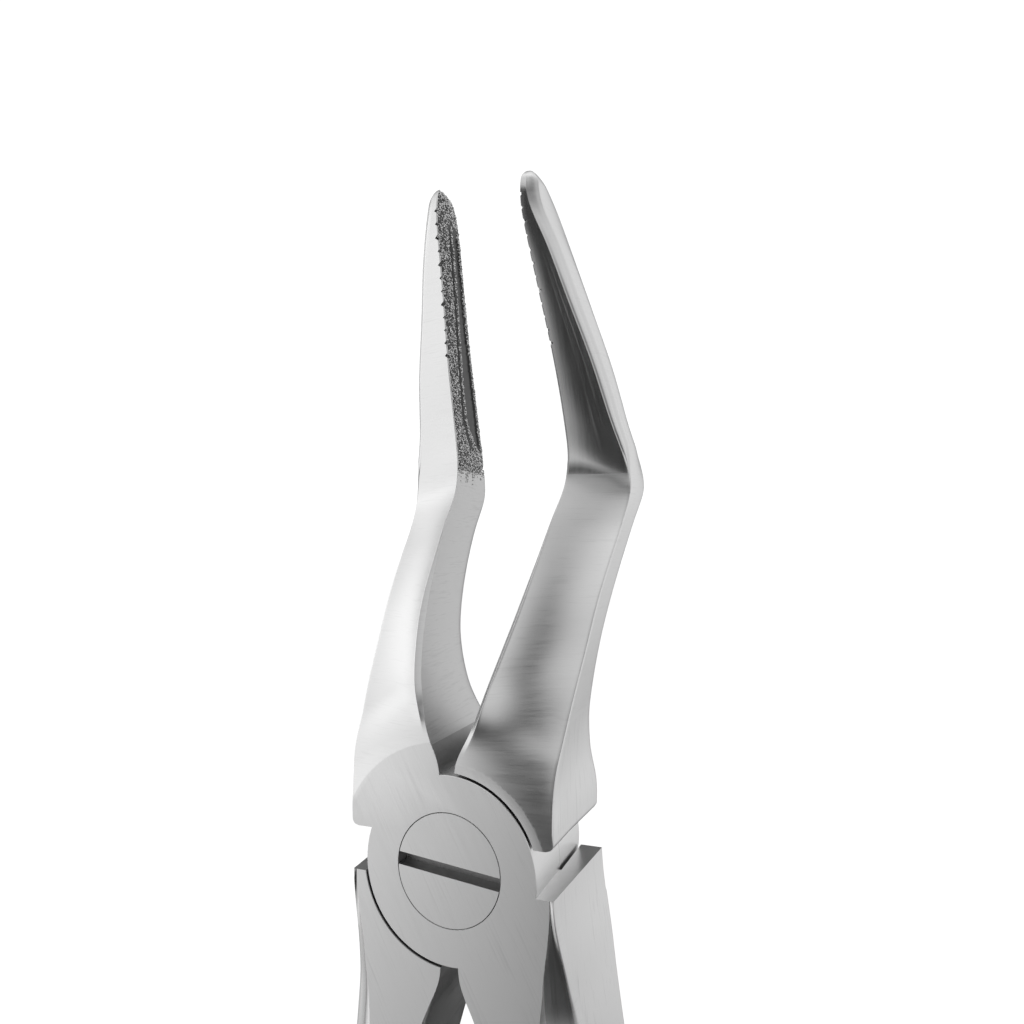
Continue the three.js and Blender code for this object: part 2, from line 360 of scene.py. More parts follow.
SATIN = steel("satin_steel", 0.74, 0.33, 0.05, (0.5, 0.5, 9.0), 0.004)
GROUND = steel(
    "ground_joint_face", 0.70, 0.38, 0.06, (0.22, 6.0, 6.0), 0.003, turn=(0, -62, 0), mottle=0.08
)
FLUTE = steel("polished_flute", 0.67, 0.23, 0.04, (7.0, 0.4, 0.25), 0.0015)
INNER = steel("brushed_inner_face", 0.58, 0.40, 0.06, (4.0, 0.5, 6.0), 0.005, mottle=0.12)
FILED = steel("filed_side", 0.70, 0.34, 0.06, (5.0, 5.0, 0.3), 0.006, mottle=0.1)
# Painted shade: a darker grey for the walls of cuts and seams, and for the jaws' inner faces close to
# the joint.
SHADED_CUT = steel("cut_wall_painted_shade", 0.45, 0.45, 0.05, (2.0, 2.0, 2.0), 0.003)
FINISHES = [SATIN, GROUND, FLUTE, INNER, FILED, SHADED_CUT]
(IN_SATIN, IN_GROUND, IN_FLUTE, IN_INNER, IN_FILED, IN_SHADED_CUT) = range(len(FINISHES))
print("finishes:", [m.name for m in FINISHES])

# %% [markdown]
# ## Lofting a forging from stations
#
# A jaw and a handle are long bars whose section changes smoothly. Two ways to make
# them are a subdivided cage, which is quick but hard to hold to size, and a loft: a
# table of sizes at a few heights, a smooth curve through each size, and one outline at
# every height. The loft is used here because the table is the same kind of drawing that
# a forging die is cut from, and its sizes match the engineering model.
#
# In the jaw's table, inner and side are how far out its inner face and outer band lie,
# and front and back are where the inner face ends. The ridge is the front's outer edge.
# hollow is the depth of the neck's hollow, and flute the share of the flute that is cut.
# In the handle's table, cut is what the long facet takes off, round is the corner radius
# and bulge is how far the outer side bows.

# %% Station tables
JAW_BLUR = 0.9
HANDLE_BLUR = 0.8
JAW_NAMES = ("z", "inner", "front", "ridge", "ridge_y", "side", "back", "hollow", "flute")
JAW = np.array([
    (2.7, 0.67, -11.8, 9.20, -11.7, 9.9, 0.3, 0.00, 0.0),
    (5.0, 0.67, -11.8, 9.20, -11.6, 10.0, 0.3, 0.00, 0.0),
    (8.5, 0.67, -11.8, 9.50, -11.0, 9.3, 0.3, 0.10, 0.0),
    (11.0, 1.8, -11.6, 9.80, -9.7, 9.3, 0.05, 0.3, 0.0),
    (14.5, 3.0, -10.9, 10.2, -7.7, 9.8, 0.0, 0.45, 0.0),
    (18.0, 3.9, -9.1, 10.6, -5.3, 10.4, 0.6, 0.5, 0.0),
    (22.0, 4.7, -6.4, 11.0, -2.6, 11.0, 2.8, 0.5, 0.0),
    (26.0, 5.3, -3.1, 11.5, 0.8, 11.6, 5.8, 0.4, 0.0),
    (30.0, 5.8, 0.3, 12.0, 4.4, 12.2, 9.2, 0.3, 0.0),
    (33.2, 6.1, 3.4, 12.35, 6.2, 12.85, 11.3, 0.0, 1.1),
    (36.0, 6.2, 4.1, 11.65, 5.6, 12.2, 11.2, 0.0, 1.0),
    (39.5, 6.1, 3.3, 10.65, 4.5, 11.3, 10.1, 0.0, 1.0),
    (45.0, 5.8, 1.5, 9.46, 2.35, 10.4, 8.0, 0.0, 1.0),
    (51.0, 5.2, -0.6, 7.8, 0.05, 9.1, 5.2, 0.0, 1.0),
    (56.0, 4.7, -2.4, 6.45, -1.95, 7.8, 3.1, 0.0, 0.8),
    (60.0, 4.4, -3.6, 5.15, -3.4, 6.7, 1.6, 0.0, 0.2),
    (61.8, 4.4, -3.6, 4.95, -3.4, 6.05, 1.0, 0.0, 0.0),
    (63.3, 4.5, -2.6, 4.9, -2.5, 5.4, 0.2, 0.0, 0.0),
])
HANDLE_NAMES = ("z", "inner", "outer", "side", "front", "back", "cut", "round", "bulge")
HANDLE = np.array([
    (-118.5, 16.2, 18.8, 18.8, -8.0, -3.7, 0.2, 2.0, 0.0),
    (-117.4, 14.9, 20.2, 20.2, -9.6, -2.1, 0.9, 2.6, 0.1),
    (-115.0, 14.3, 21.2, 21.2, -10.4, -1.3, 1.2, 2.6, 0.2),
    (-104.0, 15.2, 22.5, 22.5, -10.8, -0.9, 1.4, 2.5, 0.3),
    (-90.0, 15.9, 23.3, 23.3, -10.9, -0.8, 1.5, 2.5, 0.3),
    (-75.0, 15.5, 23.0, 23.0, -10.9, -0.8, 1.6, 2.4, 0.3),
    (-60.0, 14.0, 21.5, 21.5, -10.9, -0.8, 1.8, 2.2, 0.3),
    (-45.0, 11.4, 18.4, 18.6, -11.0, -0.7, 2.1, 1.9, 0.2),
    (-30.0, 7.4, 14.2, 15.0, -11.2, -0.5, 2.6, 1.4, 0.1),
    (-20.0, 4.5, 11.7, 12.7, -11.6, -0.2, 2.9, 1.0, 0.0),
    (-12.0, 2.1, 10.4, 11.4, -11.85, 0.1, 2.6, 0.6, 0.0),
    (-8.4, 0.8, 9.9, 10.9, -11.95, 0.25, 1.9, 0.3, 0.0),
    (-1.1, 0.8, 9.3, 10.1, -12.0, 0.3, 0.3, 0.2, 0.0),
])
print("jaw stations", len(JAW), "handle stations", len(HANDLE))

# %% [markdown]
# ## Smooth curves through the stations
#
# Straight lines between stations would show as bands in polished steel. Each size runs
# on a cubic curve that never overshoots its stations, and is then blurred along the
# height, so that its curvature has no jumps either.


# %% Curves through the stations
def slopes(z, v):
    """Slopes at the stations that keep each curve from overshooting."""
    step = np.diff(v) / np.diff(z)
    out = np.zeros(len(v))
    for i in range(1, len(v) - 1):
        a, b = step[i - 1], step[i]
        out[i] = 0 if a * b <= 0 else 2 * a * b / (a + b)
    return out


FINE_STEP = 0.05


def stations_at(names, table, heights, blur):
    """Every size at every height, softened over a blur length so that reflections
    run through the stations without a kink."""
    z = table[:, 0]
    fine = np.arange(z[0], z[-1] + FINE_STEP, FINE_STEP)
    reach = int(3 * blur / FINE_STEP)
    weights = np.exp(-0.5 * (np.arange(-reach, reach + 1) * FINE_STEP / blur) ** 2)
    weights /= weights.sum()
    sizes = {}
    for column, name in enumerate(names[1:], 1):
        v = table[:, column]
        m = slopes(z, v)
        i = np.clip(np.searchsorted(z, fine) - 1, 0, len(z) - 2)
        h = z[i + 1] - z[i]
        t = (fine - z[i]) / h
        curve = (
            v[i] * (1 + 2 * t) * (1 - t) ** 2
            + v[i + 1] * t * t * (3 - 2 * t)
            + m[i] * h * t * (1 - t) ** 2
            + m[i + 1] * h * t * t * (t - 1)
        )
        padded = np.concatenate([
            2 * curve[0] - curve[reach:0:-1],
            curve,
            2 * curve[-1] - curve[-2 : -reach - 2 : -1],
        ])
        sizes[name] = np.interp(heights, fine, np.convolve(padded, weights, "valid"))
    return sizes


def jaw_sizes(heights):
    """The jaw's sizes at any heights."""
    return stations_at(JAW_NAMES, JAW, heights, JAW_BLUR)


def handle_sizes(heights):
    """The handle's sizes at any heights."""
    return stations_at(HANDLE_NAMES, HANDLE, heights, HANDLE_BLUR)


def smooth(edge0, edge1, x):
    """0 below edge0, 1 above edge1, and an easy curve between."""
    t = np.clip((x - edge0) / (edge1 - edge0), 0.0, 1.0)
    return t * t * (3 - 2 * t)


print("jaw width at the bend:", round(float(jaw_sizes(np.array([33.2]))["side"][0]), 2))

# %% [markdown]
# ## Outlines and lofts
#
# A section is a polygon with rounded corners whose edges may bulge or hollow. Every
# section has the same number of points, so that the rings join into clean quads, and
# each point knows its edge, so that a face of the bar can have its own finish.


# %% Outlines and lofts
CORNER_STEPS = 7


def outlines(corners, radii, edges):
    """Rounded outlines for all heights at once.

    corners and radii are lists of arrays, one row for each height. edges gives, for
    the edge after each corner, its number of steps and a function from the fraction
    along it to how far it stands out. Returns points of shape (heights, n, 2), and for
    each point the edge it belongs to, less a half on the corner before that edge."""
    count = len(corners)
    spans = [corners[(i + 1) % count] - corners[i] for i in range(count)]
    lengths = [np.linalg.norm(s, axis=1) for s in spans]
    cut = [np.minimum(radii[i], 0.45 * np.minimum(lengths[i], lengths[i - 1])) for i in range(count)]
    points, owner = [], []
    for i in range(count):
        j = (i + 1) % count
        along = spans[i] / lengths[i][:, None]
        before = spans[i - 1] / lengths[i - 1][:, None]
        start = corners[i] - before * cut[i][:, None]
        end = corners[i] + along * cut[i][:, None]
        for t in np.linspace(0, 1, CORNER_STEPS):
            points.append(start * (1 - t) ** 2 + 2 * corners[i] * t * (1 - t) + end * t * t)
            owner.append(i - 0.5)
        finish = corners[j] - along * cut[j][:, None]
        out = np.stack([along[:, 1], -along[:, 0]], axis=1)
        steps, height = edges[i]
        for u in np.arange(1, steps) / steps:
            stand = np.asarray(height(u)).reshape(-1, 1)
            points.append(end + (finish - end) * u + out * stand)
            owner.append(i)
    return np.stack(points, axis=1), owner


def bowed(height):
    """The shape of an edge that bows out by a height at its middle."""
    return lambda u: height * 4 * u * (1 - u)


def dome_scale(heights, dome, top):
    """How much of a section is left at each height of a rounded end."""
    past = np.clip((heights - (top - dome)) / dome, 0, 1)
    return np.sqrt(np.clip(1 - past**2, 0.0004, 1))


def tapered(points, heights, dome, top):
    """Draws the last stretch of a loft in to a rounded end."""
    middle = points.mean(axis=1, keepdims=True)
    return middle + (points - middle) * dome_scale(heights, dome, top)[:, None, None]


def loft(name, heights, points, side, finish_of, materials):
    """A closed mesh object through outlines. side mirrors it for -1. finish_of gives
    the material slot for each column of faces, as a function of the row's height."""
    rows, count = points.shape[:2]
    xyz = np.empty((rows, count, 3))
    xyz[..., 0] = side * points[..., 0]
    xyz[..., 1] = points[..., 1]
    xyz[..., 2] = heights[:, None]
    hubs = xyz[[0, -1]].mean(axis=1)
    vertices = np.concatenate([xyz.reshape(-1, 3), hubs]) * MM
    faces, slots = [], []
    for r in range(rows - 1):
        for i in range(count):
            a, b = r * count + i, r * count + (i + 1) % count
            faces.append((a, b, b + count, a + count))
            slots.append(finish_of(i, heights[r]))
    first, last = rows * count, rows * count + 1
    for i in range(count):
        j = (i + 1) % count
        faces.append((first, j, i))
        faces.append((last, (rows - 1) * count + i, (rows - 1) * count + j))
        slots += [finish_of(0, heights[0])] * 2
    if side < 0:
        faces = [face[::-1] for face in faces]
    mesh = bpy.data.meshes.new(name)
    mesh.from_pydata(vertices.tolist(), [], faces)
    mesh.polygons.foreach_set("material_index", slots)
    return as_object(name, mesh, materials)


def as_object(name, mesh, materials):
    """Puts a mesh in the scene with the given finishes."""
    for material in materials:
        mesh.materials.append(material)
    thing = bpy.data.objects.new(name, mesh)
    bpy.context.scene.collection.objects.link(thing)
    return thing


print("loft helpers ready")

# %% [markdown]
# ## A jaw
#
# The jaw is one bar with five faces. Its inner face meets the tooth, and is cut back
# behind a thin lip to seat the grit. The front carries a wheel-cut flute on the slender
# part, which stops short at the bend, and a shallow hollow lower down on the neck. A
# narrow land runs beside the flute, the outer band is crowned, and the back is plain.
# The root is left a little proud, because the joint is ground flat after forging.

# %% Jaw sizes
LINING_SINK = 0.55
LIP = 0.16
GRIT_FROM = 35.6
FLUTE_END = 33.7
LAND_WIDTH = 1.05
TIP_DOME = 1.2
ROOT_CORNER = 0.6
STREAKS = (0.66, 0.78)
STREAK_WIDTH = 0.03
STREAK_DEPTH = 0.018
# By side: the round boss that the neck's front runs into, and the depth of the flute as
# a share of its width. The left jaw's front is crowned a little instead.
BOSS_RADIUS = {1: 8.9, -1: 10.6}
FLUTE_HOLLOW = {1: 0.04, -1: -0.012}
# The edges of the section whose finish differs, counted from the front face.
JAW_FRONT, JAW_SIDE, JAW_INNER = 0, 2, 4
# Heights where one finish gives way to another.
FILED_BELOW = 12
# Below this height the jaw's inner face takes the darker cut grey, painted shade between the crossed
# jaws near the joint.
SHADED_INNER_TOP = 10.2
POLISHED_FROM, POLISHED_TO = 34.2, 61.4

print("lining seat", LINING_SINK, "mm deep behind a lip of", LIP, "mm")


# %% Jaw section
def jaw_heights():
    """The heights of the jaw's sections, closest where it changes fastest."""
    root = np.arange(2.7, 4.0, 0.1)
    neck = np.arange(4.0, 33.0, 0.3)
    blade = np.arange(33.0, 61.8, 0.2)
    tip = np.linspace(61.8, TIP_Z, 20)
    return np.concatenate([root, neck, blade, tip])


def jaw_corners(s, z):
    """The corners of the section: inner front, flute edge, ridge, outer back, inner
    back, the lining's seat behind the lip, and the back edge of the lip or chamfer."""
    blade = smooth(33.3, 37.5, z)
    reach = s["side"] - s["ridge"] + 0.3 * (1 - smooth(50, 60, z))
    across = 0.08 + blade * (np.minimum(LAND_WIDTH, reach) - 0.08)
    back = 0.10 + blade * (0.78 * across - 0.10)
    flute_x = s["ridge"] - (1 - blade) * 0.08
    flute_y = s["ridge_y"] - (1 - blade) * 0.08
    chamfer = 0.03 + 0.36 * smooth(3.0, 9.0, z) * (1 - smooth(20.0, 31.0, z))
    inner = s["inner"]
    gritty = smooth(GRIT_FROM - 0.25, GRIT_FROM, z)
    sunk = gritty * np.minimum(LINING_SINK, 0.4 * (s["side"] - inner))
    lip = s["front"] + np.maximum(1.3 * chamfer, gritty * LIP * smooth(63.4, 61.5, z))
    return [
        np.stack([inner + chamfer, s["front"]], 1),
        np.stack([flute_x, flute_y], 1),
        np.stack([flute_x + across, flute_y + back], 1),
        np.stack([s["side"], s["back"]], 1),
        np.stack([inner + sunk, s["back"]], 1),
        np.stack([inner + sunk, lip + 0.03 + 0.24 * gritty], 1),
        np.stack([inner, lip], 1),
    ]


def flute_run_in(u):
    """The height where the flute starts, lower near the ridge than at the inner edge."""
    return FLUTE_END + 0.9 * (1 - smooth(0.0, 0.8, u))


def jaw_relief(s, z, u, hollow):
    """How far the front is hollowed at a fraction u of the way out from the inner edge:
    the neck's shallow hollow, the flute, and two faint ripples left by the wheel."""
    arch = 4 * u * (1 - u)
    run_in = flute_run_in(u)
    width = s["ridge"] - s["inner"]
    flute = hollow * width * arch * s["flute"] * smooth(run_in - 1.4, run_in + 1.4, z)
    ripple = sum(np.exp(-(((u - middle) / STREAK_WIDTH) ** 2)) for middle in STREAKS)
    fluted = smooth(36.5, 39, z) * (1 - smooth(50, 58, z)) * (hollow > 0)
    return s["hollow"] * arch + flute + STREAK_DEPTH * ripple * fluted


def boss_blend(points, z, radius):
    """Lets the neck's front run into the round ground boss: it crosses the joint's face
    on a circle about the pivot and falls away outside it."""
    x, y = points[..., 0], points[..., 1]
    past = np.hypot(x, z[:, None]) - radius
    fall = np.where(past > 0, 0.16 * past + 0.02 * past**2, 0.16 * past)
    near = (1 - smooth(0.8, 5.0, past)) * smooth(-7.0, -9.0, y)
    points[..., 1] = y + near * (FRONT_Y + fall - y)
    return points


print("jaw sections:", len(jaw_heights()))


# %% Jaw
def jaw(side):
    """A jaw as a closed loft, on +X for side 1 and on -X for side -1."""
    z = jaw_heights()
    s = jaw_sizes(z)
    corners = jaw_corners(s, z)
    left = np.clip((ROOT_CORNER - (z - z[0])) / ROOT_CORNER, 0, 1)
    shoulder = ROOT_CORNER * (1 - np.sqrt(1 - left**2))
    for outer in (1, 2, 3):
        corners[outer][:, 0] -= shoulder
    one = np.ones_like(z)
    slim = 1 - 0.5 * smooth(50, 62, z)
    crowned = smooth(30, 38, z) * slim
    ridge = 0.55 * slim * (0.2 + 0.8 * crowned) if side > 0 else 1.2 * slim
    rear = 0.3 + 1.5 * smooth(9.0, 14.0, z) * (1 - smooth(28.0, 34.0, z))
    inner_edge = 0.04 + 0.12 * smooth(34, 40, z)
    radii = [inner_edge, 0.05 * one, ridge, 1.2 * slim, rear, 0.01 * one, 0.05 * one]
    edges = [
        (36, lambda u: -jaw_relief(s, z, u, FLUTE_HOLLOW[side])),
        (8, bowed(0.1 * crowned)),
        (12, bowed(0.25 * crowned)),
        (10, bowed(0.35 * crowned)),
        (14, bowed(0 * z)),
        (1, bowed(0 * z)),
        (2, bowed(0 * z)),
    ]
    points, owner = outlines(corners, radii, edges)
    points = boss_blend(points, z, BOSS_RADIUS[side])
    points = tapered(points, z, TIP_DOME, TIP_Z)

    def finish_of(i, height):
        edge = owner[i]
        # The inner face is painted darker below the shaded height, as shade between the jaws.
        if edge in (JAW_INNER - 0.5, JAW_INNER):
            return IN_INNER if height > SHADED_INNER_TOP else IN_SHADED_CUT
        if side > 0 and edge == JAW_FRONT and POLISHED_FROM < height < POLISHED_TO:
            return IN_FLUTE
        if edge == JAW_SIDE and height < FILED_BELOW:
            return IN_FILED
        return IN_SATIN

    return loft("jaw", z, points, side, finish_of, FINISHES)


# %% [markdown]
# ## A handle
#
# The handle starts as thick as the joint, with its outer front edge taken off in a
# long facet, and turns into a rounded bowed grip.


# %% Handle
# The edges of the section whose finish differs, counted from the front face.
HANDLE_FACET, HANDLE_SIDE, HANDLE_INNER = 1, 2, 4
FILED_ABOVE = -35
END_DOME = 0.5


def handle_heights():
    """The heights of the handle's sections, closest at its rounded end."""
    end = np.linspace(END_Z, END_Z + 2.4, 18)
    grip = np.arange(END_Z + 2.8, -16.0, 0.5)
    root = np.arange(-16.0, -1.1, 0.3)
    return np.concatenate([end, grip, root, [-1.1]])


def handle(side):
    """A handle as a closed loft, on +X for side 1 and on -X for side -1."""
    z = handle_heights()
    s = handle_sizes(z)
    root = smooth(-34, -14, z) * (1 - smooth(-13, -6, z))
    corners = [
        np.stack([s["inner"], s["front"]], 1),
        np.stack([s["outer"] - s["cut"], s["front"]], 1),
        np.stack([s["outer"], s["front"] + s["cut"]], 1),
        np.stack([s["side"], s["back"]], 1),
        np.stack([s["inner"], s["back"]], 1),
    ]
    soft = s["round"] / 2
    radii = [s["round"], soft + 0.4 * root, soft, s["round"], s["round"]]
    hollow = 0.25 * smooth(-30, -14, z)
    edges = [
        (10, bowed(0 * z)),
        (10, bowed(-hollow)),
        (12, bowed(s["bulge"])),
        (10, bowed(0 * z)),
        (12, bowed(0 * z)),
    ]
    points, owner = outlines(corners, radii, edges)
    points = tapered(points[::-1], -z[::-1], END_DOME, -END_Z)[::-1]

    def finish_of(i, height):
        edge = owner[i]
        if edge == HANDLE_SIDE and height > FILED_ABOVE:
            return IN_FILED
        if edge == HANDLE_INNER:
            return IN_INNER
        if edge == HANDLE_FACET:
            return IN_FLUTE
        return IN_SATIN

    return loft("handle", z, points, side, finish_of, FINISHES)


print("handle sections:", len(handle_heights()))

# %% [markdown]
# ## Round pieces
#
# Discs, holes and the screw are turned on a lathe, so their profile is spun about the
# pivot axis. A profile can carry its own small bevels, which is where the thin bright
# lines beside a real seam come from.


# %% Lathe
LATHE_STEPS = 160


def lathe(name, profile, slots):
    """Spins a profile of (radius, y) about the pivot axis. The profile runs from the
    front of the axis to its back, and slots has one finish for each stretch."""
    steps = LATHE_STEPS
    turns = np.linspace(0, 2 * np.pi, steps, endpoint=False)
    rings = [(r, y) for r, y in profile if r > 0]
    vertices = [(0, profile[0][1], 0)]
    for r, y in rings:
        vertices += [(r * math.cos(t), y, r * math.sin(t)) for t in turns]
    vertices.append((0, profile[-1][1], 0))
    faces, material = [], []
    last = len(vertices) - 1
    for i in range(steps):
        j = (i + 1) % steps
        faces.append((0, 1 + i, 1 + j))
        material.append(slots[0])
        for k in range(len(rings) - 1):
            a, b = 1 + k * steps, 1 + (k + 1) * steps
            faces.append((a + j, a + i, b + i, b + j))
            material.append(slots[k + 1])
        top = 1 + (len(rings) - 1) * steps
        faces.append((top + j, top + i, last))
        material.append(slots[-1])
    mesh = bpy.data.meshes.new(name)
    mesh.from_pydata([(x * MM, y * MM, z * MM) for x, y, z in vertices], [], faces)
    mesh.polygons.foreach_set("material_index", material)
    return as_object(name, mesh, FINISHES)


def block(name, low, high, slot):
    """A plain box cutter between two corners in mm."""
    (x0, y0, z0), (x1, y1, z1) = low, high
    corners = [(x, y, z) for x in (x0, x1) for y in (y0, y1) for z in (z0, z1)]
    faces = [(0, 1, 3, 2), (4, 6, 7, 5), (0, 4, 5, 1), (2, 3, 7, 6), (0, 2, 6, 4), (1, 5, 7, 3)]
    mesh = bpy.data.meshes.new(name)
    mesh.from_pydata([tuple(c * MM for c in corner) for corner in corners], [], faces)
    mesh.polygons.foreach_set("material_index", [slot] * 6)
    return as_object(name, mesh, FINISHES)


print("lathe steps:", LATHE_STEPS)

# %% [markdown]
# ## Joining and cutting
#
# The discs, pockets and bores are joined and cut with boolean operations. Each result is
# turned into a plain mesh at once. The shading is smooth except at real edges. Where a
# narrow rounding meets a wide flat, smooth shading would bend the flat's reflections, so
# the normals there are weighted towards the larger face.


# %% Joining and cutting
def combine(body, other, operation):
    """Joins or cuts with a solid, applies the result and removes the tool."""
    modifier = body.modifiers.new("combine", "BOOLEAN")
    modifier.operation = operation
    modifier.solver = "MANIFOLD"
    modifier.object = other
    result = bpy.data.meshes.new_from_object(
        body.evaluated_get(bpy.context.evaluated_depsgraph_get())
    )
    body.modifiers.remove(modifier)
    body.data = result
    bpy.data.objects.remove(other)


def merge_apart(body, other):
    """Puts two solids that don't touch into one object."""
    with bpy.context.temp_override(
        active_object=body, object=body, selected_editable_objects=[body, other]
    ):
        bpy.ops.object.join()


def crisp(body, angle=30):
    """Smooth shading that keeps edges sharper than the angle."""
    mesh = body.data
    mesh.polygons.foreach_set("use_smooth", [True] * len(mesh.polygons))
    mesh.set_sharp_from_angle(angle=math.radians(angle))


def level_flats(body, below):
    """Leans the shading of rounded edges toward the larger face beside them, so that
    wide flats read as flat right up to the rounding. Only below a height in mm."""
    group = body.vertex_groups.new(name="flats")
    group.add([v.index for v in body.data.vertices if v.co.z < below * MM], 1.0, "REPLACE")
    weigh = body.modifiers.new("level_flats", "WEIGHTED_NORMAL")
    weigh.keep_sharp = True
    weigh.vertex_group = group.name
    levelled = body.evaluated_get(bpy.context.evaluated_depsgraph_get())
    mesh = bpy.data.meshes.new_from_object(levelled)
    body.modifiers.clear()
    body.vertex_groups.clear()
    body.data = mesh


print("finishes kept through each cut:", len(FINISHES))

# %% [markdown]
# ## Geometry Nodes helpers
#
# What repeats is made by Geometry Nodes: grains on the lining, nicks along the jaw's
# edge, grooves round the grip. A tree is a node group with named inputs. The helper
# below makes the group, sets the modifier's inputs, and turns the result into a plain
# mesh.


# %% Geometry Nodes helpers
def geometry_group(name, inputs):
    """A new tree with a Geometry input, the named inputs, and one Geometry output."""
    tree = bpy.data.node_groups.new(name, "GeometryNodeTree")
    tree.interface.new_socket("Geometry", in_out="INPUT", socket_type="NodeSocketGeometry")
    tree.interface.new_socket("Geometry", in_out="OUTPUT", socket_type="NodeSocketGeometry")
    for label, kind in inputs.items():
        tree.interface.new_socket(label, in_out="INPUT", socket_type=kind)
    start = tree.nodes.new("NodeGroupInput")
    end = tree.nodes.new("NodeGroupOutput")
    return tree, start.outputs, end.inputs["Geometry"]


def grown(thing, tree, values):
    """Runs a tree on an object and returns the result as a new mesh."""
    modifier = thing.modifiers.new(tree.name, "NODES")
    modifier.node_group = tree
    for item in tree.interface.items_tree:
        if item.in_out == "INPUT" and item.name in values:
            modifier[item.identifier] = values[item.name]
    ready = thing.evaluated_get(bpy.context.evaluated_depsgraph_get())
    mesh = bpy.data.meshes.new_from_object(ready)
    thing.modifiers.remove(modifier)
    return mesh


print("node groups so far:", len(bpy.data.node_groups))

# %% [markdown]
# ## Nicks and grip grooves
#
# A triangular file nicks the jaw's inner edge every 1.2 mm, and a grooving wheel
# cuts bars across the back of each grip so that a wet glove holds. Both are one cutter
# repeated along a path, so a Geometry Nodes tree sets a cutter at equal steps along a
# curve, and the forging is cut with the result. Real cuts keep their shape from every
# side, where a bump would vanish at the edge.


# %% Cutter tree
def cutter_tree():
    """Repeats a square rod at equal steps along a path. Each rod lies front to back,
    with its corners in and out, so that it cuts a V."""
    tree, given, result = geometry_group(
        "rods_on_path",
        {
            "Step": "NodeSocketFloat",
            "Depth": "NodeSocketFloat",
            "Half Width": "NodeSocketFloat",
            "Length": "NodeSocketFloat",
            "Least": "NodeSocketFloat",
            "Shaded Cut": "NodeSocketMaterial",
        },
    )
    path = add(tree, "GeometryNodeMeshToCurve", {"Mesh": given["Geometry"]})
    stops = add(
        tree,
        "GeometryNodeCurveToPoints",
        {"Curve": path.outputs[0], "Length": given["Step"]},
        mode="LENGTH",
    )
    rod = add(
        tree,
        "GeometryNodeMeshCylinder",
        {"Vertices": 4, "Radius": 1.0, "Depth": 1.0},
        fill_type="NGON",
    )
    size = add(
        tree,
        "ShaderNodeCombineXYZ",
        {"X": given["Depth"], "Y": given["Half Width"], "Z": given["Length"]},
    )
    wander = add(
        tree,
        "FunctionNodeRandomValue",
        {2: given["Least"], 3: 1.0, "Seed": 7},
        data_type="FLOAT",
    )
    scale = add(
        tree,
        "ShaderNodeVectorMath",
        {0: size.outputs[0], "Scale": wander.outputs[1]},
        operation="SCALE",
    )
    placed = add(
        tree,
        "GeometryNodeInstanceOnPoints",
        {
            "Points": stops.outputs["Points"],
            "Instance": rod.outputs["Mesh"],
            "Rotation": (math.radians(90), 0, 0),
            "Scale": scale.outputs[0],
        },
    )
    real = add(tree, "GeometryNodeRealizeInstances", {0: placed.outputs[0]})
    done = add(
        tree, "GeometryNodeSetMaterial", {"Geometry": real.outputs[0], "Material": given["Shaded Cut"]}
    )
    tree.links.new(done.outputs[0], result)
    return tree


RODS = cutter_tree()
print("cutter tree:", len(RODS.nodes), "nodes")


def rods_along(points, step, depth, half_width, length, least):
    """Cutting rods along a path through points in mm, as one object. least is the size
    of the smallest rod as a share of the largest."""
    edges = [(i, i + 1) for i in range(len(points) - 1)]
    mesh = bpy.data.meshes.new("path")
    mesh.from_pydata([Vector(p) * MM for p in points], edges, [])
    path = bpy.data.objects.new("path", mesh)
    bpy.context.scene.collection.objects.link(path)
    sizes = {"Step": step, "Depth": depth, "Half Width": half_width, "Length": length}
    values = {name: value * MM for name, value in sizes.items()}
    # The rods carry the darker cut grey, painted shade in the nicks and grooves they leave.
    rods = grown(path, RODS, {**values, "Least": least, "Shaded Cut": FINISHES[IN_SHADED_CUT]})
    bpy.data.objects.remove(path)
    rods.materials.clear()
    made = as_object("rods", rods, FINISHES)
    rods.polygons.foreach_set("material_index", [IN_SHADED_CUT] * len(rods.polygons))
    return made


# %% [markdown]
# ## Placing the cutters
#
# The nicks follow the jaw's inner front edge, and the grooves follow the outer side of
# the grip. Both paths come from the station tables, so that they stay on the steel if a
# size changes.

# %% Nicks and grooves
NICK_FROM, NICK_TO, NICK_PITCH = 47.0, 60.4, 1.2
GROOVE_FROM, GROOVE_TO, GROOVE_PITCH = -106.0, -46.0, 2.4


def nick_rods(side):
    """Rods laid over the jaw's inner front edge."""
    z = np.linspace(NICK_FROM, NICK_TO, 40)
    s = jaw_sizes(z)
    route = [(side * (x - 0.04), y, up) for x, y, up in zip(s["inner"], s["front"], z)]
    return rods_along(route, NICK_PITCH, 0.45, 0.34, 0.6, 0.6)


def groove_rods(side):
    """Rods laid over the outer side of the grip."""
    z = np.linspace(GROOVE_FROM, GROOVE_TO, 60)
    s = handle_sizes(z)
    middle = (s["front"] + s["back"]) / 2
    route = [(side * (x + 0.35), y, up) for x, y, up in zip(s["side"] + s["bulge"], middle, z)]
    return rods_along(route, GROOVE_PITCH, 0.85, 0.6, 12.5, 1.0)


print("about", round((NICK_TO - NICK_FROM) / NICK_PITCH), "nicks on each jaw")

# %% [markdown]
# ## A forging
#
# Each half is its jaw on one side, its handle on the other and a half-thickness disc
# between them. The workshop's order is followed: cut the pocket that the mating disc
# turns in, add the disc, then face the joint flat on both sides in one cut.

# %% Joint profiles
BEVEL = 0.045
FLARE = 1.1
FACING_STOCK = 0.8
FIT_GAP = 0.04
HEAD_GAP = 0.035
FLOOR_GAP = 0.05
BORE_BEVEL = 0.03


